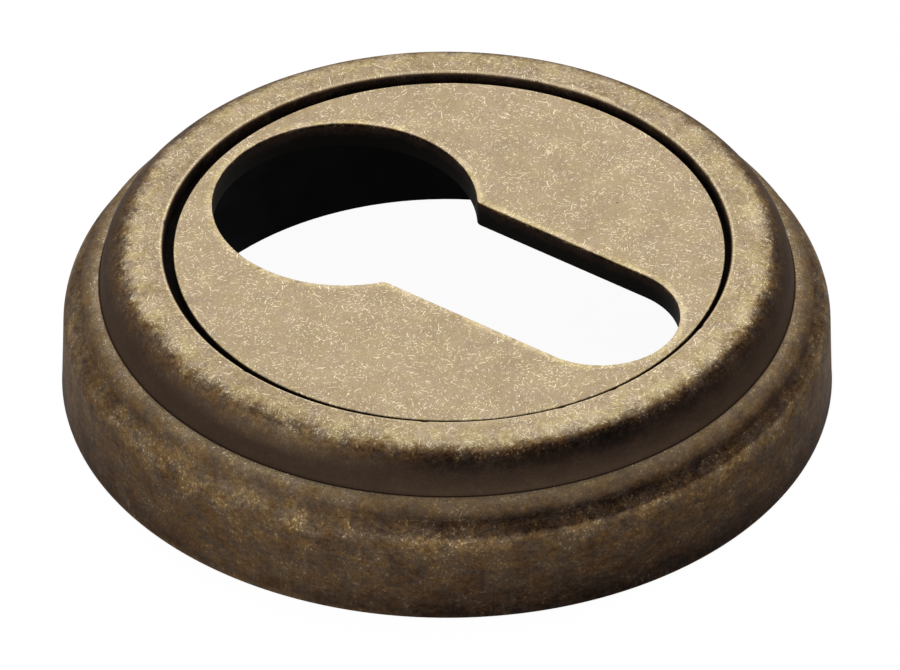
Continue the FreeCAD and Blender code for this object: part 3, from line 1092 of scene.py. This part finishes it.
def room():
    world = bpy.data.worlds.new("room")
    bpy.context.scene.world = world
    world.use_nodes = True
    tree = world.node_tree
    back = tree.nodes["Background"]
    back.inputs["Color"].default_value = WHITE
    seen = seen_directly(tree)
    feed(tree, back.inputs["Strength"], spread(tree, seen, 0.0, 1.0, ROOM_LEVEL, 1.0, smooth=False))


table = floor()
room()
print("table glow", FLOOR_GLOW, "room level", ROOM_LEVEL)

# %% [markdown]
# Two soft lamps model the form: a broad one from behind, of whose light the roll keeps a part off the near
# ledge, and a weaker one from the front left, which leaves the near right side in shade. A lamp's power is
# given as the light that it lays on a white card at the object, so that a colour renders about as written.

# %% Lamps
CAMERA_AZIMUTH = -54.4
CAMERA_ELEVATION = 38.0
LAMPS = (  # name, turn from the camera, elevation, distance, width, height, level
    ("key", 168, 40, 0.7, 1.4, 0.3, 0.56),
    ("fill", -17, 20, 0.8, 0.6, 0.4, 0.43),
)


def lamp(name, azimuth, elevation, distance, wide, tall, level):
    """A soft lamp aimed at the object. level 1 alone would light a facing white card to white."""
    around, up = radians(azimuth), radians(elevation)
    back = Vector((sin(around) * cos(up), -cos(around) * cos(up), sin(up)))
    data = bpy.data.lights.new(name, "AREA")
    data.shape = "RECTANGLE"
    data.size = wide
    data.size_y = tall
    data.energy = level * pi * pi * distance**2
    made = bpy.data.objects.new(name, data)
    bpy.context.scene.collection.objects.link(made)
    made.location = back * distance
    made.rotation_mode = "QUATERNION"
    made.rotation_quaternion = (-back).to_track_quat("-Z", "Y")
    return made


for lamp_name, turn, *numbers in LAMPS:
    lamp(lamp_name, CAMERA_AZIMUTH + turn, *numbers)
print("lamps:", [row[0] for row in LAMPS])

# %% [markdown]
# The camera stands at the photo's angle, 38 degrees above the table, with the keyhole's long axis running
# from the upper left to the lower right. At 1.2 metres the near side of the ring looks just as much larger
# than the far side as in the photo, and the lens is worked out to give 15.6 pixels to the millimetre.

# %% Camera
AIM = Vector((-7.628, -5.70, 10.95)) * MM
CAMERA_DISTANCE = 1.2
SENSOR_WIDTH = 12.0
PIXELS_PER_MM = 15.58
PHOTO_WIDTH = 900


def camera():
    around, up = radians(CAMERA_AZIMUTH), radians(CAMERA_ELEVATION)
    back = Vector((sin(around) * cos(up), -cos(around) * cos(up), sin(up)))
    data = bpy.data.cameras.new("camera")
    data.sensor_width = SENSOR_WIDTH
    data.lens = PIXELS_PER_MM * 1000 * CAMERA_DISTANCE * SENSOR_WIDTH / PHOTO_WIDTH
    data.clip_start = 0.1
    data.clip_end = 2 * CAMERA_DISTANCE
    made = bpy.data.objects.new("camera", data)
    bpy.context.scene.collection.objects.link(made)
    made.location = AIM + back * CAMERA_DISTANCE
    made.rotation_mode = "QUATERNION"
    made.rotation_quaternion = (-back).to_track_quat("-Z", "Y")
    bpy.context.scene.camera = made
    print("lens in mm:", round(data.lens), "at", CAMERA_DISTANCE, "m")


camera()
bpy.context.scene.view_settings.view_transform = "Standard"
